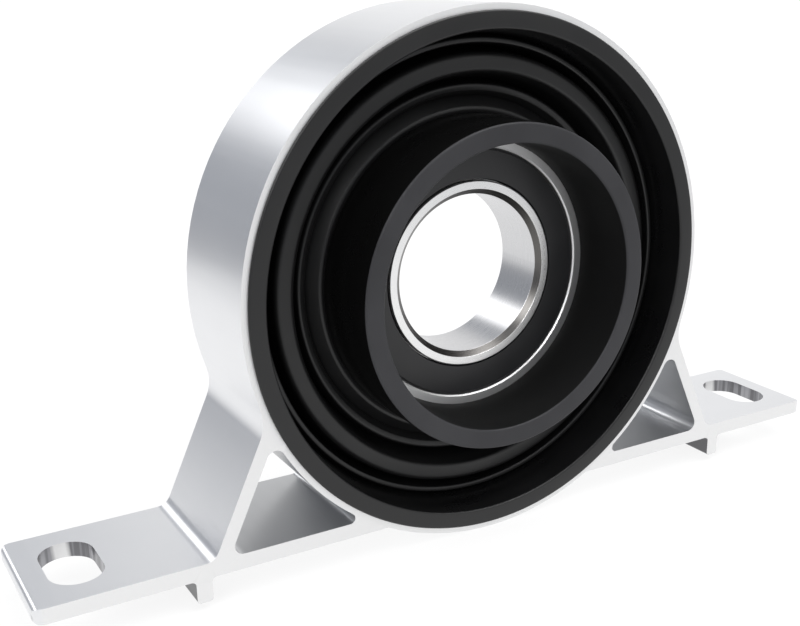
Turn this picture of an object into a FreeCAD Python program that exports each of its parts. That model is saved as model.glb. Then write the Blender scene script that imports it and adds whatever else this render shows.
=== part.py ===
"""Driveshaft centre bearing: a sealed ball bearing hung in a folded rubber ring inside an aluminium bracket.

The shaft's axis is Y, with the front of the bearing towards -Y. Z is up and X runs along the bracket's base.
The origin is the middle of the bearing, on its axis. Lengths are millimetres and angles degrees.
"""
import FreeCAD, Part
import math
import os
import re
import Sketcher

SIZES = {
    # ball bearing
    "bore_radius": 15.0,
    "bore_chamfer": 1.0,
    "race_width": 13.0,
    "race_outer_radius": 27.5,
    "race_chamfer": 0.8,
    "edge_break": 0.25,
    "ball_share": 0.28576,
    "shoulder_share": 0.18,
    "inner_land_share": 0.112,
    "inner_land_width": 1.3,
    "outer_lip_rise": 0.1,
    "outer_lip_width": 0.6,
    "ball_gap": 0.05,
    # seals
    "seal_groove_depth": 0.7,
    "seal_groove_width": 1.1,
    "seal_inset": 0.2,
    "seal_thickness": 0.85,
    "seal_gap": 0.3,
    "seal_lip_gap": 0.06,
    "seal_seat_gap": 0.08,
    # cage
    "cage_share": 0.152,
    "cage_thickness": 0.6,
    "cage_pocket_gap": 0.12,
    "rivet_radius": 0.6,
    "rivet_stand": 0.4,
    "rivet_gap": 0.02,
    # hub cup
    "cup_wall": 1.98,
    "cup_rim_wall": 3.6,
    "cup_lip_clearance": 1.6,
    "cup_front": 20.2,
    "cup_back": 7.3,
    "cup_edge": 0.4,
    "seat_gap": 0.02,
    # rubber ring
    "bond_gap": 0.1,
    "flange_inset": 0.9,
    "flange_width": 3.4,
    "flange_thickness": 0.6,
    "flange_edge": 0.4,
    "fold_wall": 1.5,
    "collar_thickness": 2.7,
    "collar_front": 4.7,
    "collar_back": 5.5,
    "collar_edge": 0.8,
    "groove_one_share": 0.05,
    "groove_one_depth": 3.4,
    "ridge_one_share": 0.14,
    "ridge_one_depth": 4.4,
    "groove_two_share": 0.28,
    "groove_two_depth": 2.6,
    "crest_share": 0.5,
    "crest_depth": 6.0,
    "crest_round_share": 0.157,
    "groove_three_share": 0.74,
    "groove_three_depth": 2.9,
    "ridge_two_share": 0.87,
    "ridge_two_depth": 7.4,
    "groove_four_share": 0.94,
    "groove_four_depth": 6.3,
    "band_wall": 1.5,
    "band_back": 8.5,
    # steel sleeve round the rubber
    "sleeve_wall": 1.2,
    "sleeve_back": 9.8,
    "sleeve_gap": 0.02,
    # bracket
    "bracket_front": 14.0,
    "bracket_depth": 25.2,
    "ring_outer_radius": 48.6,
    "ring_wall": 2.4,
    "base_top": 40.1,
    "base_thickness": 2.8,
    "base_end_round": 1.0,
    "base_corner_radius": 2.0,
    "leg_foot": 55.85,
    "leg_lean": 25.0,
    "leg_wall": 2.4,
    "leg_ring_fillet": 7.5,
    "leg_base_fillet": 2.8,
    "window_top_fillet": 1.7,
    "window_outer_fillet": 1.7,
    "window_inner_fillet": 1.0,
    "rib_centre": 58.0,
    "rib_width": 2.8,
    "rib_drop": 4.3,
    "rib_round": 0.7,
    "rib_fillet": 0.8,
    "slot_centre": 76.4,
    "slot_end_distance": 9.1,
    "slot_width": 9.2,
    "slot_length": 15.6,
}
BALL_COUNT = 11
SHEET = "Sizes"
OVERRUN = 5.0

doc = FreeCAD.newDocument("CentreBearing")


# the size sheet and its formulas

def make_sheet():
    sheet = doc.addObject("Spreadsheet::Sheet", SHEET)
    for row, (name, number) in enumerate(SIZES.items(), start=1):
        sheet.set(f"A{row}", name)
        sheet.set(f"B{row}", str(number))
        sheet.setAlias(f"B{row}", name)
    doc.recompute()
    return sheet


sheet = make_sheet()


def on_sheet(formula):
    """Writes a formula's size names as cells of the sheet."""
    return re.sub(r"[a-z_]+", lambda word: f"{SHEET}.{word[0]}" if word[0] in SIZES else word[0], str(formula))


def value(formula):
    """The number that a formula gives now."""
    result = sheet.evalExpression(on_sheet(formula))
    return float(getattr(result, "Value", result))


def bind(thing, prop, formula):
    thing.setExpression(prop, on_sheet(formula))


# sketches

def add_sketch(body, name, role, offset="0"):
    """A sketch on one of the body's origin planes, moved along the plane's normal by the offset."""
    sketch = body.newObject("Sketcher::SketchObject", name)
    plane = next(item for item in body.Origin.OriginFeatures if item.Role == role)
    sketch.AttachmentSupport = [(plane, "")]
    sketch.MapMode = "FlatFace"
    bind(sketch, "AttachmentOffset.Base.z", offset)
    return sketch


def hold(sketch, kind, places, formula):
    """Adds one constraint whose size is a formula on the sheet."""
    index = sketch.addConstraint(Sketcher.Constraint(kind, *places, value(formula)))
    bind(sketch, f"Constraints[{index}]", formula)


def pin_point(sketch, curve, end, x, y):
    hold(sketch, "DistanceX", (-1, 1, curve, end), x)
    hold(sketch, "DistanceY", (-1, 1, curve, end), y)


def draw_circle(sketch, x, y, radius):
    circle = Part.Circle(FreeCAD.Vector(value(x), value(y), 0), FreeCAD.Vector(0, 0, 1), value(radius))
    curve = sketch.addGeometry(circle, False)
    pin_point(sketch, curve, 3, x, y)
    hold(sketch, "Radius", (curve,), radius)


def draw_belt(sketch, stops):
    """A closed outline that runs from stop to stop like a belt round pulleys, anticlockwise as a whole.

    A stop is a sharp corner (x, y), or a round (x, y, radius, turn) about a centre, where the turn is 1 if
    the outline bends left round it and -1 if it bends right. Straight runs touch the rounds tangentially.
    """
    centres = [FreeCAD.Vector(value(stop[0]), value(stop[1]), 0) for stop in stops]
    signed = [value(stop[2]) * stop[3] if len(stop) == 4 else 0.0 for stop in stops]
    count = len(stops)
    leave, arrive = [None] * count, [None] * count
    for i in range(count):
        j = (i + 1) % count
        way = centres[j] - centres[i]
        heading = math.atan2(way.y, way.x) + math.asin((signed[i] - signed[j]) / way.Length)
        right = FreeCAD.Vector(math.sin(heading), -math.cos(heading), 0)
        leave[i] = centres[i] + right * signed[i]
        arrive[j] = centres[j] + right * signed[j]
    runs = []
    for i in range(count):
        runs.append(sketch.addGeometry(Part.LineSegment(leave[i], arrive[(i + 1) % count]), False))
    for i, stop in enumerate(stops):
        before = runs[i - 1]
        after = runs[i]
        if signed[i] == 0:
            sketch.addConstraint(Sketcher.Constraint("Coincident", before, 2, after, 1))
            pin_point(sketch, after, 1, stop[0], stop[1])
            continue
        first, last = (arrive[i], leave[i]) if signed[i] > 0 else (leave[i], arrive[i])
        circle = Part.Circle(centres[i], FreeCAD.Vector(0, 0, 1), abs(signed[i]))
        arc = Part.ArcOfCircle(circle, angle_about(centres[i], first), angle_about(centres[i], last))
        curve = sketch.addGeometry(arc, False)
        entry, way_out = (1, 2) if signed[i] > 0 else (2, 1)
        sketch.addConstraint(Sketcher.Constraint("Tangent", before, 2, curve, entry))
        sketch.addConstraint(Sketcher.Constraint("Tangent", curve, way_out, after, 1))
        pin_point(sketch, curve, 3, stop[0], stop[1])
        hold(sketch, "Radius", (curve,), stop[2])


def angle_about(centre, point):
    return math.atan2(point.y - centre.y, point.x - centre.x)


# features

def add_body(label):
    body = doc.addObject("PartDesign::Body", label)
    body.Label = label
    return body


def turned(label, stops):
    """A body turned about the shaft axis from an outline of (radius, place along Y) stops."""
    body = add_body(label)
    sketch = add_sketch(body, label + "_section", "XY_Plane")
    draw_belt(sketch, stops)
    turning = body.newObject("PartDesign::Revolution", label + "_turning")
    turning.Profile = sketch
    turning.ReferenceAxis = (sketch, ["V_Axis"])
    turning.Angle = 360
    doc.recompute()
    return body


def take_away(body, feature):
    """Rebuilds the body with a cutting feature, and stops if it cut nothing."""
    before = body.Shape.Volume
    body.Tip = feature
    doc.recompute()
    if body.Shape.Volume > before - 0.01:
        raise RuntimeError(feature.Name + " cuts nothing")


def mirrored_across(stops):
    """An outline's front half, given from its inner middle to its outer middle, with its mirror image behind."""
    behind = []
    for stop in reversed(stops):
        behind.append((stop[0], f"-({stop[1]})", *stop[2:]))
    return stops + behind


# the ball bearing

# balls, track shoulders and cage take their shares of the room between the bore and the outside
BALL_PITCH = "((bore_radius + race_outer_radius) / 2)"
BALL_ROOM = "(race_outer_radius - bore_radius)"
BALL_RADIUS = f"(ball_share * {BALL_ROOM})"
INNER_SHOULDER = f"({BALL_PITCH} - shoulder_share * {BALL_ROOM})"
INNER_LAND = f"({INNER_SHOULDER} - inner_land_share * {BALL_ROOM})"
OUTER_SHOULDER = f"({BALL_PITCH} + shoulder_share * {BALL_ROOM})"
OUTER_LIP = f"({OUTER_SHOULDER} + outer_lip_rise)"
CAGE_REACH = f"(cage_share * {BALL_ROOM})"


def cut_ball_track(body):
    """Cuts the ring-shaped track that the balls roll in."""
    sketch = add_sketch(body, body.Label + "_track_section", "XY_Plane")
    draw_circle(sketch, BALL_PITCH, "0", f"{BALL_RADIUS} + ball_gap")
    track = body.newObject("PartDesign::Groove", body.Label + "_track")
    track.Profile = sketch
    track.ReferenceAxis = (sketch, ["V_Axis"])
    track.Angle = 360
    take_away(body, track)


def make_inner_race():
    front = "-race_width / 2"
    body = turned("inner_race", mirrored_across([
        ("bore_radius", f"{front} + bore_chamfer"),
        ("bore_radius + bore_chamfer", front),
        (f"{INNER_LAND} - edge_break", front),
        (INNER_LAND, f"{front} + edge_break"),
        (INNER_LAND, f"{front} + inner_land_width"),
        (INNER_SHOULDER, f"{front} + inner_land_width"),
    ]))
    cut_ball_track(body)
    return body


def make_outer_race():
    front = "-race_width / 2"
    groove_front = f"{front} + outer_lip_width"
    groove_back = f"{groove_front} + seal_groove_width"
    body = turned("outer_race", mirrored_across([
        (OUTER_SHOULDER, groove_back),
        (f"{OUTER_LIP} + seal_groove_depth", groove_back),
        (f"{OUTER_LIP} + seal_groove_depth", groove_front),
        (OUTER_LIP, groove_front),
        (OUTER_LIP, f"{front} + edge_break"),
        (f"{OUTER_LIP} + edge_break", front),
        ("race_outer_radius - race_chamfer", front),
        ("race_outer_radius", f"{front} + race_chamfer"),
    ]))
    cut_ball_track(body)
    return body


def make_seal(label, side):
    """A seal whose outer bead sits in the outer race's groove and whose lip runs over the inner race's land."""
    face = "race_width / 2 - seal_inset"
    back = f"{face} - seal_thickness"
    bead_face = "race_width / 2 - outer_lip_width - seal_seat_gap"
    bead_back = "race_width / 2 - outer_lip_width - seal_groove_width + seal_seat_gap"
    outline = [
        (f"{INNER_LAND} + seal_lip_gap", back),
        (f"{INNER_LAND} + seal_gap", face),
        (f"{OUTER_LIP} - seal_gap - edge_break", face),
        (f"{OUTER_LIP} - seal_gap", f"{face} - edge_break"),
        (f"{OUTER_LIP} - seal_gap", bead_face),
        (f"{OUTER_LIP} + seal_groove_depth - seal_seat_gap", bead_face),
        (f"{OUTER_LIP} + seal_groove_depth - seal_seat_gap", bead_back),
        (f"{OUTER_SHOULDER} - seal_gap", bead_back),
        (f"{OUTER_SHOULDER} - seal_gap - seal_thickness / 2", back),
    ]
    if side > 0:
        return turned(label, outline[::-1])
    return turned(label, [(radius, f"-({place})") for radius, place in outline])


def ring_angle(index, share=0.0):
    """Angle round the shaft, from straight up, of a ball or, half a step on, of a rivet."""
    return 90.0 + 360.0 * (index + share) / BALL_COUNT


def put_on_pitch_circle(thing, angle, place="0"):
    bind(thing, "Placement.Base.x", f"{BALL_PITCH} * cos({angle})")
    bind(thing, "Placement.Base.y", place)
    bind(thing, "Placement.Base.z", f"{BALL_PITCH} * sin({angle})")


def make_balls():
    balls = []
    for i in range(BALL_COUNT):
        ball = doc.addObject("Part::Sphere", f"ball_{i + 1:02d}")
        bind(ball, "Radius", BALL_RADIUS)
        put_on_pitch_circle(ball, ring_angle(i))
        balls.append(ball)
    return balls


def cylinder_along_y(name, radius, start, length):
    """A cylinder about the shaft axis, from a start place to start plus length."""
    cylinder = doc.addObject("Part::Cylinder", name)
    cylinder.Placement.Rotation = FreeCAD.Rotation(FreeCAD.Vector(1, 0, 0), -90)
    bind(cylinder, "Radius", radius)
    bind(cylinder, "Height", length)
    bind(cylinder, "Placement.Base.y", start)
    return cylinder


def combine(kind, name, things):
    """One boolean of several things: a Part::MultiFuse or a Part::MultiCommon."""
    result = doc.addObject(kind, name)
    result.Shapes = things
    return result


def cut(name, base, tool):
    result = doc.addObject("Part::Cut", name)
    result.Base = base
    result.Tool = tool
    return result


def cage_ring(name, start, length):
    outer = cylinder_along_y(name + "_outer", f"{BALL_PITCH} + {CAGE_REACH}", start, length)
    inner = cylinder_along_y(name + "_inner", f"{BALL_PITCH} - {CAGE_REACH}", start, length)
    return cut(name, outer, inner)


def spoke(name, radius, angle):
    """A cylinder that points outwards from the shaft through a ball's place, across the cage's width."""
    cylinder = doc.addObject("Part::Cylinder", name)
    outwards = FreeCAD.Vector(math.cos(math.radians(angle)), 0, math.sin(math.radians(angle)))
    cylinder.Placement.Rotation = FreeCAD.Rotation(FreeCAD.Vector(0, 0, 1), outwards)
    bind(cylinder, "Radius", radius)
    inside = f"({BALL_PITCH} - {CAGE_REACH} - cage_thickness)"
    bind(cylinder, "Height", f"2 * ({CAGE_REACH} + cage_thickness)")
    bind(cylinder, "Placement.Base.x", f"{inside} * cos({angle})")
    bind(cylinder, "Placement.Base.z", f"{inside} * sin({angle})")
    return cylinder


def rivet_at(name, index, radius, reach):
    """A cylinder along Y, half a step past a ball, that reaches as far to the front as to the back."""
    rivet = cylinder_along_y(name, radius, "0", f"2 * ({reach})")
    put_on_pitch_circle(rivet, ring_angle(index, 0.5), f"-({reach})")
    return rivet


def make_cage():
    """Two pressed half-cages that meet in the bearing's middle plane, bent into an arch over each ball."""
    pocket_radius = f"{BALL_RADIUS} + cage_pocket_gap"
    arch_radius = f"{pocket_radius} + cage_thickness"
    balls = range(BALL_COUNT)
    arches = combine("Part::MultiFuse", "cage_arches",
                     [spoke(f"arch_{i + 1:02d}", arch_radius, ring_angle(i)) for i in balls])
    pockets = [spoke(f"pocket_{i + 1:02d}", pocket_radius, ring_angle(i)) for i in balls]
    holes = [rivet_at(f"rivet_hole_{i + 1:02d}", i, "rivet_radius + rivet_gap", "2 * cage_thickness")
             for i in balls]
    openings = combine("Part::MultiFuse", "cage_openings", pockets + holes)
    halves = []
    for label, arch_start, ribbon_start in (
        ("cage_front", f"-({arch_radius})", "-cage_thickness"),
        ("cage_rear", "0", "0"),
    ):
        zone = cage_ring(label + "_zone", arch_start, arch_radius)
        ribbon = cage_ring(label + "_ribbon", ribbon_start, "cage_thickness")
        caps = combine("Part::MultiCommon", label + "_caps", [zone, arches])
        pressed = combine("Part::MultiFuse", label + "_pressed", [caps, ribbon])
        halves.append(cut(label, pressed, openings))
    rivets = doc.addObject("Part::Compound", "cage_rivets")
    rivets.Links = [rivet_at(f"rivet_{i + 1:02d}", i, "rivet_radius", "cage_thickness + rivet_stand")
                    for i in balls]
    return [*halves, rivets]


# the hub cup, the rubber ring and its steel sleeve

CUP_SEAT = "(race_outer_radius + seat_gap)"
CUP_OUTER = f"({CUP_SEAT} + cup_wall)"
SLEEVE_OUTER = "(ring_outer_radius - ring_wall - sleeve_gap)"
SLEEVE_INNER = f"({SLEEVE_OUTER} - sleeve_wall)"


def make_hub_cup():
    """The cup that holds the bearing: a long collar in front, a lip against the outer race, a seat behind it."""
    rim_inner = f"{CUP_OUTER} - cup_rim_wall"
    return turned("hub_cup", [
        (rim_inner, "-cup_front + cup_edge"),
        (f"{rim_inner} + cup_edge", "-cup_front"),
        (f"{CUP_OUTER} - cup_edge", "-cup_front"),
        (CUP_OUTER, "-cup_front + cup_edge"),
        (CUP_OUTER, "cup_back"),
        (f"{CUP_SEAT} + edge_break", "cup_back"),
        (CUP_SEAT, "cup_back - edge_break"),
        (CUP_SEAT, "-race_width / 2"),
        (f"{OUTER_LIP} + cup_lip_clearance", "-race_width / 2"),
    ])


def make_rubber_ring():
    """The folded ring, followed from the collar on the cup out over the folds to the flange, and back behind.

    In front there are two thin ridges with a broad round crest between them, and sharp grooves on both
    sides of each. Behind, the outline keeps the fold wall from the two deep grooves and from the crest.
    The folds lie at their shares of the room between the collar and the outer band.
    """
    bond = f"({CUP_OUTER} + bond_gap)"
    collar_outer = f"({bond} + collar_thickness)"
    band_outer = f"({SLEEVE_INNER} - sleeve_gap)"
    band_inner = f"({band_outer} - band_wall)"
    room = f"({band_inner} - {collar_outer})"
    flange_outer = "(ring_outer_radius - flange_inset)"
    flange_inner = f"({flange_outer} - flange_width)"
    flange_front = "(-bracket_front - flange_thickness)"
    groove_two = f"{collar_outer} + groove_two_share * {room}"
    crest = f"{collar_outer} + crest_share * {room}"
    crest_round = f"crest_round_share * {room}"
    groove_three = f"{collar_outer} + groove_three_share * {room}"
    root = "-groove_three_depth + fold_wall"
    return turned("rubber_ring", [
        (bond, "-collar_front + collar_edge"),
        (f"{bond} + collar_edge", "-collar_front"),
        (f"{collar_outer} - collar_edge", "-collar_front"),
        (f"{collar_outer} + groove_one_share * {room}", "-groove_one_depth"),
        (f"{collar_outer} + ridge_one_share * {room}", "-ridge_one_depth"),
        (groove_two, "-groove_two_depth"),
        (crest, "-crest_depth", crest_round, 1),
        (groove_three, "-groove_three_depth"),
        (f"{collar_outer} + ridge_two_share * {room}", "-ridge_two_depth"),
        (f"{collar_outer} + groove_four_share * {room}", "-groove_four_depth"),
        (flange_inner, f"{flange_front} + flange_edge"),
        (f"{flange_inner} + flange_edge", flange_front),
        (f"{flange_outer} - flange_edge", flange_front),
        (flange_outer, f"{flange_front} + flange_edge"),
        (flange_outer, "-bracket_front"),
        (band_outer, "-bracket_front"),
        (band_outer, "band_back"),
        (band_inner, "band_back"),
        (band_inner, root),
        (groove_three, root),
        (crest, f"-crest_depth - {crest_round} + 2 * fold_wall"),
        (groove_two, "-groove_two_depth + fold_wall"),
        (collar_outer, "-groove_two_depth + fold_wall"),
        (collar_outer, "collar_back - collar_edge"),
        (f"{collar_outer} - collar_edge", "collar_back"),
        (bond, "collar_back"),
    ])


def make_sleeve():
    return turned("outer_sleeve", [
        (SLEEVE_INNER, "-bracket_front"),
        (f"{SLEEVE_OUTER} - edge_break", "-bracket_front"),
        (SLEEVE_OUTER, "-bracket_front + edge_break"),
        (SLEEVE_OUTER, "sleeve_back - edge_break"),
        (f"{SLEEVE_OUTER} - edge_break", "sleeve_back"),
        (SLEEVE_INNER, "sleeve_back"),
    ])


# the bracket

def pad_bracket(body, name, draw, *outlines):
    """Extrudes outlines in X and Z through the bracket's whole depth."""
    sketch = add_sketch(body, name + "_outline", "XZ_Plane", "bracket_front - bracket_depth")
    for outline in outlines:
        draw(sketch, *outline)
    pad = body.newObject("PartDesign::Pad", name)
    pad.Profile = sketch
    bind(pad, "Length", "bracket_depth")
    doc.recompute()


def pocket_bracket(body, name, draw, *outlines):
    """Cuts outlines in X and Z through the bracket's whole depth."""
    sketch = add_sketch(body, name + "_outline", "XZ_Plane", "bracket_front - bracket_depth")
    for outline in outlines:
        draw(sketch, *outline)
    pocket = body.newObject("PartDesign::Pocket", name)
    pocket.Profile = sketch
    pocket.Reversed = True
    bind(pocket, "Length", "bracket_depth")
    take_away(body, pocket)


def pocket_base(body, name, outlines):
    """Cuts outlines in X and Y down through the base."""
    sketch = add_sketch(body, name + "_outline", "XY_Plane", f"-base_top + {OVERRUN}")
    for outline in outlines:
        draw_belt(sketch, outline)
    pocket = body.newObject("PartDesign::Pocket", name)
    pocket.Profile = sketch
    bind(pocket, "Length", f"base_thickness + {2 * OVERRUN}")
    take_away(body, pocket)


def rounded_box(x_low, y_low, x_high, y_high, radius):
    return [
        (f"{x_low} + {radius}", f"{y_low} + {radius}", radius, 1),
        (f"{x_high} - {radius}", f"{y_low} + {radius}", radius, 1),
        (f"{x_high} - {radius}", f"{y_high} - {radius}", radius, 1),
        (f"{x_low} + {radius}", f"{y_high} - {radius}", radius, 1),
    ]


def leg_meets_ring(foot):
    """Where a leg line that starts at the base's top meets the middle of the ring's wall, as (x, z)."""
    inside = f"({foot} * cos(leg_lean) - base_top * sin(leg_lean))"
    run = (f"({foot} * sin(leg_lean) + base_top * cos(leg_lean)"
           f" - sqrt((ring_outer_radius - ring_wall / 2) ^ 2 - {inside} ^ 2))")
    return f"({foot} - {run} * sin(leg_lean))", f"(-base_top + {run} * cos(leg_lean))"


def mirrored_sides(outline):
    """The outline on the right, and its mirror image on the left."""
    left = []
    for stop in reversed(outline):
        left.append((f"-({stop[0]})", *stop[1:]))
    return (outline,), (left,)


def round_edges(body, name, radius, places):
    """Rounds the straight edges along Y that lie nearest to the places, given as (x, z), and to their mirrors."""
    base = body.Tip
    lengthwise = []
    for number, edge in enumerate(base.Shape.Edges, start=1):
        along = edge.valueAt(edge.LastParameter) - edge.valueAt(edge.FirstParameter)
        if isinstance(edge.Curve, Part.Line) and abs(along.y) > value("bracket_depth") * 0.9:
            middle = edge.valueAt((edge.FirstParameter + edge.LastParameter) / 2)
            lengthwise.append((number, middle))
    names = set()
    for x, z in places:
        for side in (-1, 1):
            spot = FreeCAD.Vector(side * value(x), 0, value(z))
            nearest = min(lengthwise, key=lambda item: math.hypot(item[1].x - spot.x, item[1].z - spot.z))
            names.add(f"Edge{nearest[0]}")
    fillet = body.newObject("PartDesign::Fillet", name)
    fillet.Base = (base, sorted(names))
    bind(fillet, "Radius", radius)
    body.Tip = fillet
    doc.recompute()


def make_bracket():
    """The bracket: one extruded length with a ring, two leaning legs, a base, its slots and two short ribs."""
    body = add_body("bracket")
    base_bottom = "-(base_top + base_thickness)"
    base_front = "-bracket_front"
    base_back = "(bracket_depth - bracket_front)"
    window_foot = "(leg_foot - leg_wall / cos(leg_lean))"
    ring_middle = "(ring_outer_radius - ring_wall / 2)"
    base_end = "(slot_centre + slot_end_distance)"
    pad_bracket(body, "base", draw_belt, (rounded_box(
        f"-{base_end}", base_bottom, base_end, "-base_top", "base_end_round"),))
    trim = f"{base_end} + {OVERRUN}"
    pocket_base(body, "base_corners", [
        [(f"-({trim})", f"{base_front} - {OVERRUN}"), (trim, f"{base_front} - {OVERRUN}"),
         (trim, f"{base_back} + {OVERRUN}"), (f"-({trim})", f"{base_back} + {OVERRUN}")],
        rounded_box(f"-{base_end}", base_front, base_end, base_back, "base_corner_radius"),
    ])
    leg_x, leg_z = leg_meets_ring("leg_foot")
    pad_bracket(body, "legs", draw_belt, ([
        ("-leg_foot", base_bottom), ("leg_foot", base_bottom), ("leg_foot", "-base_top"),
        (leg_x, leg_z), (f"-{leg_x}", leg_z), ("-leg_foot", "-base_top")],))
    window_x, window_z = leg_meets_ring(window_foot)
    pocket_bracket(body, "windows", draw_belt, *mirrored_sides([
        (f"sqrt({ring_middle} ^ 2 - base_top ^ 2)", "-base_top"),
        (window_foot, "-base_top"),
        (window_x, window_z)]))
    pad_bracket(body, "ring", draw_circle, ("0", "0", "ring_outer_radius"))
    pocket_bracket(body, "ring_bore", draw_circle, ("0", "0", "ring_outer_radius - ring_wall"))
    pad_bracket(body, "ribs", draw_belt, *mirrored_sides([
        ("rib_centre + rib_width / 2", f"{base_bottom} + base_thickness / 2"),
        ("rib_centre - rib_width / 2", f"{base_bottom} + base_thickness / 2"),
        ("rib_centre - rib_width / 2 + rib_round", f"{base_bottom} - rib_drop + rib_round", "rib_round", 1),
        ("rib_centre + rib_width / 2 - rib_round", f"{base_bottom} - rib_drop + rib_round", "rib_round", 1)]))
    slot_middle = "bracket_depth / 2 - bracket_front"
    slot_reach = "(slot_length - slot_width) / 2"
    slots = []
    for side in ("-slot_centre", "slot_centre"):
        slots.append([(side, f"{slot_middle} - {slot_reach}", "slot_width / 2", 1),
                      (side, f"{slot_middle} + {slot_reach}", "slot_width / 2", 1)])
    pocket_base(body, "slots", slots)
    round_edges(body, "leg_ring_rounding", "leg_ring_fillet", [(leg_x, leg_z)])
    round_edges(body, "leg_base_rounding", "leg_base_fillet", [("leg_foot", "-base_top")])
    round_edges(body, "window_top_rounding", "window_top_fillet", [(window_x, window_z)])
    round_edges(body, "window_outer_rounding", "window_outer_fillet", [(window_foot, "-base_top")])
    round_edges(body, "window_inner_rounding", "window_inner_fillet",
                [("sqrt(ring_outer_radius ^ 2 - base_top ^ 2)", "-base_top")])
    round_edges(body, "rib_rounding", "rib_fillet", [
        ("rib_centre - rib_width / 2", base_bottom), ("rib_centre + rib_width / 2", base_bottom)])
    return body


# checks and files

def check_all(pieces):
    """Stops if anything in the document failed, or if a piece has no sound solid."""
    doc.recompute()
    for thing in doc.Objects:
        if "Invalid" in thing.State or "Error" in thing.State:
            raise RuntimeError(f"{thing.Label} failed: {thing.State}")
    for piece in pieces:
        if piece.Shape.isNull() or not piece.Shape.isValid() or not piece.Shape.Solids:
            raise RuntimeError(f"{piece.Label} has no sound solid")


def write_files(pieces):
    os.makedirs("parts", exist_ok=True)
    for piece in pieces:
        piece.Shape.exportStep(f"parts/{piece.Label}.step")
        print(f"{piece.Label}: {len(piece.Shape.Solids)} solids, {piece.Shape.Volume:.1f} mm3")


pieces = [
    make_bracket(), make_sleeve(), make_rubber_ring(), make_hub_cup(),
    make_outer_race(), make_inner_race(), make_seal("seal_front", -1), make_seal("seal_rear", 1),
    *make_balls(), *make_cage(),
]
check_all(pieces)
write_files(pieces)
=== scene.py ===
"""Looks of the driveshaft centre bearing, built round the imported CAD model.

The shaft's axis is Y, with the front towards -Y. Z is up and X runs along the bracket's base.
Lengths are metres, but the turned outlines and the sizes that they use are millimetres.
"""
import math
import bpy
import numpy as np
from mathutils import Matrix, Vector


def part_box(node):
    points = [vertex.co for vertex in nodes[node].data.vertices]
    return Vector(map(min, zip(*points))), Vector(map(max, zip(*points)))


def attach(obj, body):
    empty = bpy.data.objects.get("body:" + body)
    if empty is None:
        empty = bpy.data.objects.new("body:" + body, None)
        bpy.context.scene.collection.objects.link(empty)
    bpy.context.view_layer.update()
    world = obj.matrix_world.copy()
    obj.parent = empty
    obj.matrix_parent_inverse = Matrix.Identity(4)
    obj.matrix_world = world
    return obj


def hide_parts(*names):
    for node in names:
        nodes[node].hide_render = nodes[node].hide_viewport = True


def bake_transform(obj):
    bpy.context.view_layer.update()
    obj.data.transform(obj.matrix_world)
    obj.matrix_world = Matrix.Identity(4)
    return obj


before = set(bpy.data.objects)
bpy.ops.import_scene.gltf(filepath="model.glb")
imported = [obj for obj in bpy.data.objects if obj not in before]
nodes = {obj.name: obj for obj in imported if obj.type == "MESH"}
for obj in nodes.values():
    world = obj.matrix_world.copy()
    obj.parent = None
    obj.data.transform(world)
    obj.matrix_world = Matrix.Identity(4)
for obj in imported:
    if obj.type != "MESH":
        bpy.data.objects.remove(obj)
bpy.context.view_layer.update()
scene = bpy.context.scene

MM = 0.001

# the bracket's ends and lowest point, in metres
FRONT_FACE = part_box("bracket")[0].y
BACK_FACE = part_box("bracket")[1].y
RING_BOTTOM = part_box("bracket")[0].z

# the turned pieces' sizes, in millimetres
RING_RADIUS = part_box("bracket")[1].z / MM
FLANGE_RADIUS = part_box("rubber_ring")[1].x / MM
FLANGE_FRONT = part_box("rubber_ring")[0].y / MM
CUP_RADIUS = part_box("hub_cup")[1].x / MM
CUP_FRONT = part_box("hub_cup")[0].y / MM
CUP_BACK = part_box("hub_cup")[1].y / MM
CUP_WALL = 3.6
RACE_HALF_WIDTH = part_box("inner_race")[1].y / MM
BORE_RADIUS = 15
BORE_CHAMFER = 1.0
RING_SKIN = 1.2
SLACK = 0.03

# places on the bracket that its colours and its painted shade go by, in metres
LEG_LEAN = math.radians(25)
LEG_MIDDLE = 32.47 * MM
LEG_TOP = -20 * MM
BASE_MIDDLE = -41.5 * MM
BASE_BOTTOM = -42.9 * MM
# the windows' painted shade fades out near their outer low corner, over the pale corner's two distances
WINDOW_CORNER = (52.2 * MM, -39.1 * MM)
PALE_CORNER = (0.8 * MM, 2.4 * MM)
SLOT_CENTRE = 76.4 * MM
SLOT_WIDTH = 9.2 * MM
SLOT_LENGTH = 15.6 * MM
SLOT_MIDDLE = (FRONT_FACE + BACK_FACE) / 2
OVER_HALF = 0.55

WALL_ROUGHNESS = 0.28
LATHE_STEPS = 288
ROUND_STEPS = 6


# materials

def new_material(name):
    """An empty node material and its Principled shader."""
    material = bpy.data.materials.new(name)
    material.use_nodes = True
    tree = material.node_tree
    tree.nodes.clear()
    output = tree.nodes.new("ShaderNodeOutputMaterial")
    shader = tree.nodes.new("ShaderNodeBsdfPrincipled")
    tree.links.new(shader.outputs["BSDF"], output.inputs["Surface"])
    return material, tree, shader


def node(tree, kind, **settings):
    """A new node, with its sockets and settings given by name."""
    made = tree.nodes.new(kind)
    for name, setting in settings.items():
        if name in made.inputs:
            made.inputs[name].default_value = setting
        else:
            setattr(made, name, setting)
    return made


def split(tree, vector):
    """A vector's three parts, as sockets named X, Y and Z."""
    made = tree.nodes.new("ShaderNodeSeparateXYZ")
    tree.links.new(vector, made.inputs[0])
    return made.outputs


def part_place(tree):
    """The point's place in the part's frame, as X, Y and Z."""
    return split(tree, tree.nodes.new("ShaderNodeTexCoord").outputs["Object"])


def facing_parts(tree):
    """How far the surface faces along X, Y and Z, whichever way."""
    normal = tree.nodes.new("ShaderNodeNewGeometry").outputs["Normal"]
    return [math_node(tree, "ABSOLUTE", part) for part in split(tree, normal)]


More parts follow.
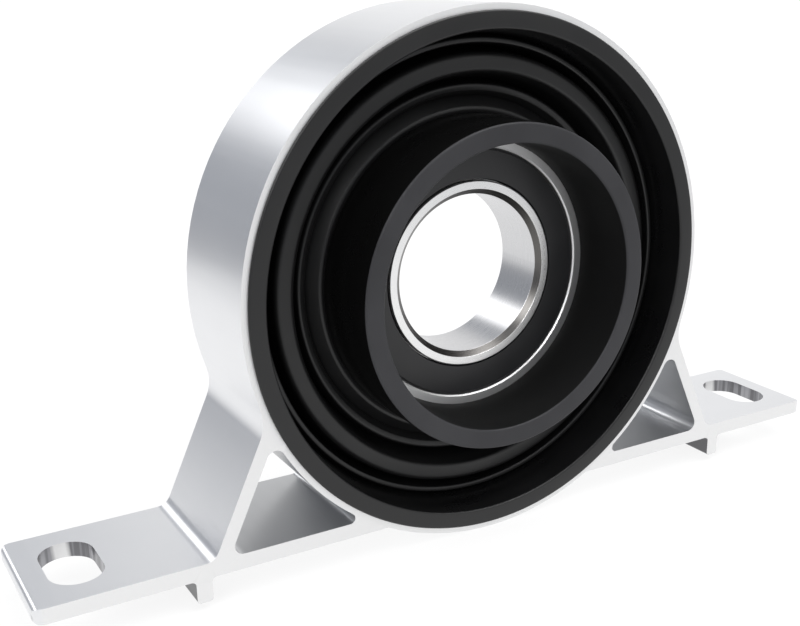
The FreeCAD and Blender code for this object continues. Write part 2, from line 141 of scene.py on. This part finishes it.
def object_place(tree, scale=(1, 1, 1)):
    """The point's place in the part's frame, scaled."""
    place = tree.nodes.new("ShaderNodeTexCoord")
    mapping = tree.nodes.new("ShaderNodeMapping")
    mapping.inputs["Scale"].default_value = scale
    tree.links.new(place.outputs["Object"], mapping.inputs["Vector"])
    return mapping.outputs["Vector"]


def math_node(tree, operation, *values):
    """The result of a sum on sockets and numbers."""
    made = tree.nodes.new("ShaderNodeMath")
    made.operation = operation
    for index, item in enumerate(values):
        if isinstance(item, bpy.types.NodeSocket):
            tree.links.new(item, made.inputs[index])
        else:
            made.inputs[index].default_value = item
    return made.outputs[0]


def vector_math(tree, operation, vector, other=(0, 0, 0)):
    """The result of a sum on a vector and, where the operation takes two, a fixed one."""
    made = tree.nodes.new("ShaderNodeVectorMath")
    made.operation = operation
    tree.links.new(vector, made.inputs[0])
    made.inputs[1].default_value = other
    gives_number = operation in ("LENGTH", "DOT_PRODUCT")
    return made.outputs["Value" if gives_number else "Vector"]


def hypotenuse(tree, first, second):
    squares = [math_node(tree, "MULTIPLY", side, side) for side in (first, second)]
    return math_node(tree, "SQRT", math_node(tree, "ADD", *squares))


def shaft_place(tree, along=1.0, around=1.0, outward=1.0):
    """Cylinder coordinates about the shaft: distance from it, angle round it and place along it, scaled."""
    x, y, z = part_place(tree)
    radius = hypotenuse(tree, x, z)
    angle = math_node(tree, "ARCTAN2", z, x)
    joined = tree.nodes.new("ShaderNodeCombineXYZ")
    tree.links.new(math_node(tree, "MULTIPLY", radius, outward), joined.inputs[0])
    tree.links.new(math_node(tree, "MULTIPLY", angle, around), joined.inputs[1])
    tree.links.new(math_node(tree, "MULTIPLY", y, along), joined.inputs[2])
    return joined.outputs[0]


def noise(tree, vector, scale, detail=3.0, roughness=0.55):
    made = node(tree, "ShaderNodeTexNoise", Scale=scale, Detail=detail, Roughness=roughness)
    tree.links.new(vector, made.inputs["Vector"])
    return made.outputs["Fac"]


def spread(tree, factor, low, high, from_low=0.3, from_high=0.7):
    """Maps a 0 to 1 pattern onto a range of values."""
    made = node(tree, "ShaderNodeMapRange")
    made.inputs["From Min"].default_value = from_low
    made.inputs["From Max"].default_value = from_high
    made.inputs["To Min"].default_value = low
    made.inputs["To Max"].default_value = high
    tree.links.new(factor, made.inputs["Value"])
    return made.outputs["Result"]


def smooth_step(tree, factor, low, high):
    """0 up to the low value, 1 from the high one, and a soft rise between them."""
    made = node(tree, "ShaderNodeMapRange", interpolation_type="SMOOTHSTEP")
    made.inputs["From Min"].default_value = low
    made.inputs["From Max"].default_value = high
    tree.links.new(factor, made.inputs["Value"])
    return made.outputs["Result"]


def blend_colours(tree, factor, first, second):
    """The first colour at factor 0 and the second at 1. Each is three numbers or a socket."""
    made = node(tree, "ShaderNodeMix", data_type="RGBA")
    tree.links.new(factor, made.inputs[0])
    for socket, colour in ((made.inputs[6], first), (made.inputs[7], second)):
        if isinstance(colour, bpy.types.NodeSocket):
            tree.links.new(colour, socket)
        else:
            socket.default_value = (*colour, 1)
    return made.outputs[2]


def bump(tree, shader, height, distance, strength):
    made = node(tree, "ShaderNodeBump", Distance=distance, Strength=strength)
    tree.links.new(height, made.inputs["Height"])
    tree.links.new(made.outputs["Normal"], shader.inputs["Normal"])


def window_shade_share(tree):
    """1 on the walls inside the bracket's two windows, less near their outer low corner, and 0 elsewhere:
    where the windows' painted shade goes.
    """
    x, _, z = part_place(tree)
    aside = math_node(tree, "ABSOLUTE", x)
    leg_place = math_node(tree, "ADD", math_node(tree, "MULTIPLY", aside, math.cos(LEG_LEAN)),
                          math_node(tree, "MULTIPLY", z, math.sin(LEG_LEAN)))
    inside_leg = math_node(tree, "LESS_THAN", leg_place, LEG_MIDDLE)
    above_base = math_node(tree, "GREATER_THAN", z, BASE_MIDDLE)
    below_top = math_node(tree, "LESS_THAN", z, LEG_TOP)
    outside_ring = math_node(tree, "GREATER_THAN", hypotenuse(tree, x, z), (RING_RADIUS - RING_SKIN) * MM)
    across = math_node(tree, "SUBTRACT", aside, WINDOW_CORNER[0])
    up = math_node(tree, "SUBTRACT", z, WINDOW_CORNER[1])
    share = smooth_step(tree, hypotenuse(tree, across, up), *PALE_CORNER)
    for condition in (inside_leg, above_base, below_top, outside_ring):
        share = math_node(tree, "MULTIPLY", share, condition)
    return share


def slot_shade_share(tree, facing_up):
    """1 on the walls of the two slots, where their painted shade goes, and 0 elsewhere."""
    x, y, _ = part_place(tree)
    across = math_node(tree, "SUBTRACT", math_node(tree, "ABSOLUTE", x), SLOT_CENTRE)
    along = math_node(tree, "SUBTRACT", y, SLOT_MIDDLE)
    share = math_node(tree, "LESS_THAN", facing_up, 0.5)
    for offset, size in ((across, SLOT_WIDTH), (along, SLOT_LENGTH)):
        inside = math_node(tree, "LESS_THAN", math_node(tree, "ABSOLUTE", offset), OVER_HALF * size)
        share = math_node(tree, "MULTIPLY", share, inside)
    return share


def rib_shade_share(tree):
    """1 on the short ribs below the base, where their painted shade goes, and 0 elsewhere."""
    x, _, z = part_place(tree)
    below = math_node(tree, "LESS_THAN", z, BASE_BOTTOM - 0.4 * MM)
    beside_ring = math_node(tree, "GREATER_THAN", math_node(tree, "ABSOLUTE", x), WINDOW_CORNER[0])
    return math_node(tree, "MULTIPLY", below, beside_ring)


def aluminium():
    """Satin extruded aluminium: faint lines along the extrusion, and matt sawn faces at the two ends.
    The windows and ribs, which little light reaches, are painted darker: painted shade. The slots' walls are
    painted dark, painted shade, with a pattern of milling marks.
    """
    material, tree, shader = new_material("satin_aluminium")
    shader.inputs["Metallic"].default_value = 1.0
    _, facing_front, facing_up = facing_parts(tree)
    cut_face = spread(tree, facing_front, 0, 1, 0.93, 0.98)
    milling = noise(tree, object_place(tree, (900, 900, 20)), 1.0, 2.0)
    cloud = noise(tree, object_place(tree), 60.0, 4.0)
    drawn_lines = noise(tree, object_place(tree, (700, 9, 700)), 1.0, 2.0)
    grain = noise(tree, object_place(tree), 2600.0, 2.0)
    colour = blend_colours(tree, cloud, (0.76, 0.765, 0.78), (0.81, 0.815, 0.83))
    # painted shade: the walls inside the two windows get a darker colour
    colour = blend_colours(tree, window_shade_share(tree), colour, (0.5, 0.505, 0.515))
    milling_marks = spread(tree, milling, 0, 1, 0.4, 0.6)
    # painted shade: the slot walls get a dark colour, with a pattern of milling marks across it
    shaded_milled_colour = blend_colours(tree, milling_marks, (0.18, 0.18, 0.19), (0.38, 0.38, 0.4))
    colour = blend_colours(tree, slot_shade_share(tree, facing_up), colour, shaded_milled_colour)
    # painted shade: the ribs below the base get a near black colour
    colour = blend_colours(tree, rib_shade_share(tree), colour, (0.14, 0.14, 0.145))
    colour = blend_colours(tree, cut_face, colour, (0.82, 0.82, 0.82))
    tree.links.new(colour, shader.inputs["Base Color"])
    side_rough = spread(tree, drawn_lines, 0.3, 0.34)
    rough = node(tree, "ShaderNodeMix", data_type="FLOAT")
    tree.links.new(cut_face, rough.inputs[0])
    tree.links.new(side_rough, rough.inputs[2])
    rough.inputs[3].default_value = 0.6
    tree.links.new(rough.outputs[0], shader.inputs["Roughness"])
    height = math_node(tree, "ADD", math_node(tree, "MULTIPLY", drawn_lines, 0.15), grain)
    bump(tree, shader, height, 0.01 * MM, 0.2)
    return material


def rubber(name, tone, roughness, speckle=0.25, specular=0.5, shaded_wall_tone=None, inside_roughness=None):
    """Moulded rubber: near black, with a fine grain and faint dull patches. Walls along the shaft are
    smoother, and can have a darker tone of their own, which is painted shade. Those near the shaft can have
    a roughness of their own.
    """
    material, tree, shader = new_material(name)
    _, facing_front, _ = facing_parts(tree)
    wall = math_node(tree, "SUBTRACT", 1.0, smooth_step(tree, facing_front, 0.1, 0.5))
    patches = noise(tree, object_place(tree), 90.0, 5.0)
    grain = noise(tree, object_place(tree), 1800.0, 3.0)
    dark = (0.7 * tone, 0.7 * tone, 0.75 * tone)
    light = (1.3 * tone, 1.3 * tone, 1.4 * tone)
    colour = blend_colours(tree, patches, dark, light)
    # painted shade: the walls along the shaft can get a darker tone of their own
    if shaded_wall_tone:
        colour = blend_colours(tree, wall, colour, (shaded_wall_tone, shaded_wall_tone, shaded_wall_tone))
    tree.links.new(colour, shader.inputs["Base Color"])
    faces = spread(tree, patches, roughness - 0.05, roughness + 0.07)
    change = WALL_ROUGHNESS - roughness
    if inside_roughness:
        radius, _, _ = split(tree, shaft_place(tree))
        inside = math_node(tree, "LESS_THAN", radius, (CUP_RADIUS - CUP_WALL / 2) * MM)
        change = math_node(tree, "MULTIPLY_ADD", inside, inside_roughness - WALL_ROUGHNESS, change)
    tree.links.new(math_node(tree, "MULTIPLY_ADD", wall, change, faces), shader.inputs["Roughness"])
    shader.inputs["Specular IOR Level"].default_value = specular
    bump(tree, shader, grain, 0.03 * MM, speckle)
    return material


def ground_steel(name, colour, low, high):
    """Ground bearing steel, with very fine lines round the shaft."""
    material, tree, shader = new_material(name)
    shader.inputs["Metallic"].default_value = 1.0
    lines = noise(tree, shaft_place(tree, along=9000, around=4, outward=9000), 1.0, 2.0)
    cloud = noise(tree, object_place(tree), 120.0, 3.0)
    darker = tuple(0.93 * part for part in colour)
    tree.links.new(blend_colours(tree, cloud, darker, colour), shader.inputs["Base Color"])
    tree.links.new(spread(tree, lines, low, high), shader.inputs["Roughness"])
    bump(tree, shader, lines, 0.004 * MM, 0.2)
    return material


def bore_steel(name, colour, bore_shade_colour, chamfer_shade_colour, low, high):
    """The inner ring's ground steel, painted a little darker on the bore's wall and dark on its two
    chamfers: painted shade.
    """
    material = ground_steel(name, colour, low, high)
    tree = material.node_tree
    shader = tree.nodes["Principled BSDF"]
    radius, _, along = split(tree, shaft_place(tree))
    reach = BORE_CHAMFER - SLACK
    edge = math_node(tree, "LESS_THAN", radius, (BORE_RADIUS + reach) * MM)
    end = math_node(tree, "GREATER_THAN", math_node(tree, "ABSOLUTE", along), (RACE_HALF_WIDTH - reach) * MM)
    chamfer = math_node(tree, "MULTIPLY", edge, end)
    wall = math_node(tree, "LESS_THAN", radius, (BORE_RADIUS + SLACK) * MM)
    ground = blend_colours(tree, wall, shader.inputs["Base Color"].links[0].from_socket, bore_shade_colour)
    tree.links.new(blend_colours(tree, chamfer, ground, chamfer_shade_colour), shader.inputs["Base Color"])
    return material


def plated_steel(name, colour, roughness):
    """Pressed steel with a thin plating: soft blotches and small scratches."""
    material, tree, shader = new_material(name)
    shader.inputs["Metallic"].default_value = 1.0
    blotches = noise(tree, object_place(tree), 150.0, 5.0)
    scratches = noise(tree, object_place(tree, (400, 3000, 400)), 1.0, 2.0)
    darker = tuple(0.85 * part for part in colour)
    tree.links.new(blend_colours(tree, blotches, darker, colour), shader.inputs["Base Color"])
    tree.links.new(spread(tree, scratches, roughness - 0.06, roughness + 0.08), shader.inputs["Roughness"])
    bump(tree, shader, scratches, 0.006 * MM, 0.25)
    return material


# meshes

def rounded_outline(corners):
    """A closed outline of (radius, place along Y), from corners given as (radius, place, rounding)."""
    points = []
    for i, (r, y, size) in enumerate(corners):
        here = Vector((r, y))
        before = Vector(corners[i - 1][:2]) - here
        after = Vector(corners[(i + 1) % len(corners)][:2]) - here
        turn = before.angle(after)
        if size == 0 or turn > math.radians(179):
            points.append(here)
            continue
        reach = size / math.tan(turn / 2)
        start = here + before.normalized() * reach
        end = here + after.normalized() * reach
        centre = here + (before.normalized() + after.normalized()).normalized() * (size / math.sin(turn / 2))
        sweep = math.pi - turn
        steps = max(2, math.ceil(sweep / math.radians(90) * ROUND_STEPS))
        first, last = start - centre, end - centre
        side = math.copysign(1, first.x * last.y - first.y * last.x)
        for k in range(steps + 1):
            a = side * sweep * k / steps
            turned = Vector((first.x * math.cos(a) - first.y * math.sin(a),
                             first.x * math.sin(a) + first.y * math.cos(a)))
            points.append(centre + turned)
    return points


def lathe(name, corners, material):
    """A solid of revolution about the shaft, from rounded corners in millimetres."""
    outline = rounded_outline(corners)
    count = len(outline)
    vertices = []
    for step in range(LATHE_STEPS):
        angle = 2 * math.pi * step / LATHE_STEPS
        for point in outline:
            vertices.append((point.x * math.cos(angle) * MM, point.y * MM, point.x * math.sin(angle) * MM))
    faces = []
    for step in range(LATHE_STEPS):
        here = step * count
        there = (step + 1) % LATHE_STEPS * count
        for k in range(count):
            m = (k + 1) % count
            faces.append((here + k, here + m, there + m, there + k))
    mesh = bpy.data.meshes.new(name)
    mesh.from_pydata(vertices, [], faces)
    mesh.update()
    mesh.shade_smooth()
    mesh.set_sharp_from_angle(angle=math.radians(40))
    mesh.materials.append(material)
    piece = bpy.data.objects.new(name, mesh)
    scene.collection.objects.link(piece)
    return piece


def dress(name, material, edge=0.0):
    """Gives a CAD node its material, and soft edges of the given width."""
    piece = nodes[name]
    piece.data.materials.clear()
    piece.data.materials.append(material)
    if edge:
        weld = piece.modifiers.new("weld", "WELD")
        weld.merge_threshold = 0.001 * MM
        soft = piece.modifiers.new("edges", "BEVEL")
        soft.width = edge
        soft.segments = 2
        soft.limit_method = "ANGLE"
        soft.angle_limit = math.radians(35)
        piece.data.attributes.remove(piece.data.attributes["custom_normal"])
        piece.data.shade_smooth()
        piece.modifiers.new("normals", "WEIGHTED_NORMAL")


# the pieces

aluminium_satin = aluminium()
black_rubber = rubber("black_rubber", 0.004, 0.42)
# the cup's faces get a lighter tone than the ring's rubber, a painted sheen in place of its low specular,
# and its walls a near black tone, painted shade
cup_rubber = rubber("cup_rubber", 0.038, 0.42, specular=0.14, shaded_wall_tone=0.003, inside_roughness=0.6)
seal_rubber = rubber("seal_rubber", 0.018, 0.36, 0.1)
ring_steel = ground_steel("ring_steel", (0.8, 0.8, 0.8), 0.44, 0.5)
# painted shade: the bore's wall a little darker and the two chamfers dark
inner_steel = bore_steel("inner_steel", (0.88, 0.88, 0.88), (0.62, 0.62, 0.63), (0.14, 0.135, 0.13),
                         0.26, 0.32)
ball_steel = ground_steel("ball_steel", (0.8, 0.8, 0.81), 0.05, 0.08)
sleeve_steel = plated_steel("sleeve_steel", (0.6, 0.6, 0.58), 0.35)
cage_steel = plated_steel("cage_steel", (0.62, 0.6, 0.57), 0.32)

dress("bracket", aluminium_satin, 0.32 * MM)
dress("outer_sleeve", sleeve_steel)
dress("outer_race", ring_steel)
dress("inner_race", inner_steel)
for name in ("seal_front", "seal_rear"):
    dress(name, seal_rubber)
for name in ("cage_front", "cage_rear", "cage_rivets"):
    dress(name, cage_steel)
for name in nodes:
    if name.startswith("ball_"):
        dress(name, ball_steel)


def make_rubber_ring():
    """The folded ring as one soft moulding."""
    collar = CUP_RADIUS + 0.02
    collar_outer = 32.3
    collar_back = 5.5
    flange_back = FRONT_FACE / MM
    band_wall = 1.5
    band_outer = RING_RADIUS - 3.64
    band_inner = band_outer - band_wall
    band_back = 8.5
    fold_back = -0.9
    fold_fronts = [(collar, -4.9, 0), (30.4, -5.2, 0.8), (32.5, -2.9, 0),
                   (33.3, -4.7, 0.5), (34.6, -5.0, 0.6), (35.4, -2.4, 0),
                   (36.9, -8.4, 0.9), (40.2, -8.2, 1.2), (41.0, -2.4, 0),
                   (41.8, -7.6, 0.4), (42.7, -7.6, 0.4), (43.3, -6.0, 0)]
    flange = [(FLANGE_RADIUS - 3.4, FLANGE_FRONT, 0.5), (FLANGE_RADIUS, FLANGE_FRONT, 0.35),
              (FLANGE_RADIUS - 0.3, flange_back, 0)]
    band = [(band_outer, flange_back, 0), (band_outer, band_back, 0.3),
            (band_inner, band_back, 0.4), (band_inner, fold_back, 1.0)]
    fold_backs = [(40.85, fold_back, 0.8), (38.0, -6.6, 1.0), (35.4, -0.8, 0.9), (collar_outer, -0.8, 0.5),
                  (collar_outer, collar_back, 0.8), (collar, collar_back, 0.2)]
    ring = lathe("rubber_ring_moulding", fold_fronts + flange + band + fold_backs, black_rubber)
    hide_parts("rubber_ring")
    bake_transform(ring)
    # the share of the hub's motion, worked out here but given to nothing, falls with distance from the
    # shaft: all at the collar, none at the band
    still_radius = 43.5 * MM
    places = np.array([vertex.co for vertex in ring.data.vertices])
    radius = np.hypot(places[:, 0], places[:, 2])
    share = np.clip((still_radius - radius) / (still_radius - collar_outer * MM), 0, 1)
    share = share * share * (3 - 2 * share)


def make_hub_cup():
    """The cup: its long rim in front, the bearing's seat behind, and the shoulder that stops the bearing."""
    seat = 27.52
    throat = 25.2
    shoulder = -6.5
    cup = lathe("hub_cup_moulding", [
        (CUP_RADIUS - CUP_WALL, CUP_FRONT, 0.45), (CUP_RADIUS, CUP_FRONT, 0.45), (CUP_RADIUS, CUP_BACK, 0.3),
        (seat, CUP_BACK, 0.15), (seat, shoulder, 0), (throat, shoulder, 0.3)], cup_rubber)
    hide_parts("hub_cup")
    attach(cup, "hub")


make_rubber_ring()
make_hub_cup()


# floor, lights and camera

CAMERA_AZIMUTH = 212.17
CAMERA_ELEVATION = 18.91
CAMERA_DISTANCE = 0.2142
CAMERA_AIM = Vector((-0.0029, -0.0065, -0.0155))
BACKDROP_AZIMUTH = 34
WALL_LIGHT = 0.28
BACK_WALL_LIGHT = 0.14
CEILING_LIGHT = 1.62
# how far from the shaft the floor stays white, and how far to each side of the backdrop it does farther off
WHITE_REACH = (0.2, 0.6)
WHITE_SPREAD = (30, 50)
FLOOR_REACH = 12.0
# each panel's azimuth, elevation, inner and outer angle, and strength
SOFT_PANELS = (
    (BACKDROP_AZIMUTH, 16, 12, 34, 0.62),
    (-20, 33, 5, 14, 3.0),
    (-126, 34, 6, 20, 7.0),
    (128, 60, 8, 26, 4.5),
    (142, 16, 22, 48, 0.6),
)


def facing(azimuth, elevation):
    """A direction, given in degrees: azimuth 0 is along +Y and 90 along +X, and elevation is upward."""
    a, e = math.radians(azimuth), math.radians(elevation)
    return Vector((math.sin(a) * math.cos(e), math.cos(a) * math.cos(e), math.sin(e)))


def toward(tree, direction, aim, inner, outer):
    """1 within the inner angle of the aim, falling softly to 0 at the outer angle."""
    low, high = (math.cos(math.radians(angle)) for angle in (outer, inner))
    return smooth_step(tree, vector_math(tree, "DOT_PRODUCT", direction, aim), low, high)


def make_floor():
    """A pale floor: white round the object and behind it, and greyer far off to the sides."""
    material, tree, shader = new_material("pale_floor")
    flat = vector_math(tree, "MULTIPLY", object_place(tree), (1, 1, 0))
    far = smooth_step(tree, vector_math(tree, "LENGTH", flat), *WHITE_REACH)
    ahead = toward(tree, vector_math(tree, "NORMALIZE", flat), facing(BACKDROP_AZIMUTH, 0), *WHITE_SPREAD)
    grey = math_node(tree, "MULTIPLY", far, math_node(tree, "SUBTRACT", 1.0, ahead))
    colour = blend_colours(tree, grey, (0.12, 0.12, 0.12), (0.06, 0.06, 0.065))
    glow = blend_colours(tree, grey, (1, 1, 1), (0.3, 0.31, 0.33))
    tree.links.new(colour, shader.inputs["Base Color"])
    tree.links.new(glow, shader.inputs["Emission Color"])
    shader.inputs["Emission Strength"].default_value = 0.86
    shader.inputs["Roughness"].default_value = 0.9
    shader.inputs["Specular IOR Level"].default_value = 0.1
    mesh = bpy.data.meshes.new("floor")
    sides = ((-1, -1), (1, -1), (1, 1), (-1, 1))
    corners = [(x * FLOOR_REACH, y * FLOOR_REACH, RING_BOTTOM) for x, y in sides]
    mesh.from_pydata(corners, [], [(0, 1, 2, 3)])
    mesh.materials.append(material)
    floor = bpy.data.objects.new("floor", mesh)
    scene.collection.objects.link(floor)


def make_world():
    """A studio room: grey walls, brighter overhead, a white backdrop and soft panels of light."""
    world = bpy.data.worlds.new("studio")
    scene.world = world
    world.use_nodes = True
    tree = world.node_tree
    tree.nodes.clear()
    output = tree.nodes.new("ShaderNodeOutputWorld")
    background = tree.nodes.new("ShaderNodeBackground")
    tree.links.new(background.outputs[0], output.inputs[0])
    direction = tree.nodes.new("ShaderNodeTexCoord").outputs["Generated"]
    _, y, z = split(tree, direction)
    overhead = smooth_step(tree, z, 0.74, 0.92)
    behind = smooth_step(tree, y, -0.4, 0.4)
    light = math_node(tree, "MULTIPLY_ADD", behind, BACK_WALL_LIGHT, WALL_LIGHT)
    light = math_node(tree, "MULTIPLY_ADD", overhead, CEILING_LIGHT, light)
    for aim_azimuth, aim_elevation, inner, outer, strength in SOFT_PANELS:
        panel = toward(tree, direction, facing(aim_azimuth, aim_elevation), inner, outer)
        light = math_node(tree, "MULTIPLY_ADD", panel, strength, light)
    tree.links.new(light, background.inputs["Strength"])
    white = smooth_step(tree, light, 0.5, 0.9)
    tree.links.new(blend_colours(tree, white, (0.92, 0.96, 1.04), (1, 1, 1)), background.inputs["Color"])


def make_camera():
    """The photograph's viewpoint: the camera's direction, distance, aim and lens, found by fitting."""
    back = facing(CAMERA_AZIMUTH, CAMERA_ELEVATION)
    frame_width, frame_height = 800, 626
    focal_length_px = 1131
    centre_px = (459, 356)
    data = bpy.data.cameras.new("camera")
    data.sensor_width = 36
    data.lens = focal_length_px / frame_width * data.sensor_width
    data.shift_x = (frame_width / 2 - centre_px[0]) / frame_width
    data.shift_y = (centre_px[1] - frame_height / 2) / frame_width
    data.clip_start = 0.005
    data.clip_end = 50
    camera = bpy.data.objects.new("camera", data)
    camera.location = CAMERA_AIM + back * CAMERA_DISTANCE
    camera.rotation_mode = "QUATERNION"
    camera.rotation_quaternion = (-back).to_track_quat("-Z", "Y")
    scene.collection.objects.link(camera)
    scene.camera = camera


make_floor()
make_world()
make_camera()
scene.view_settings.view_transform = "Standard"
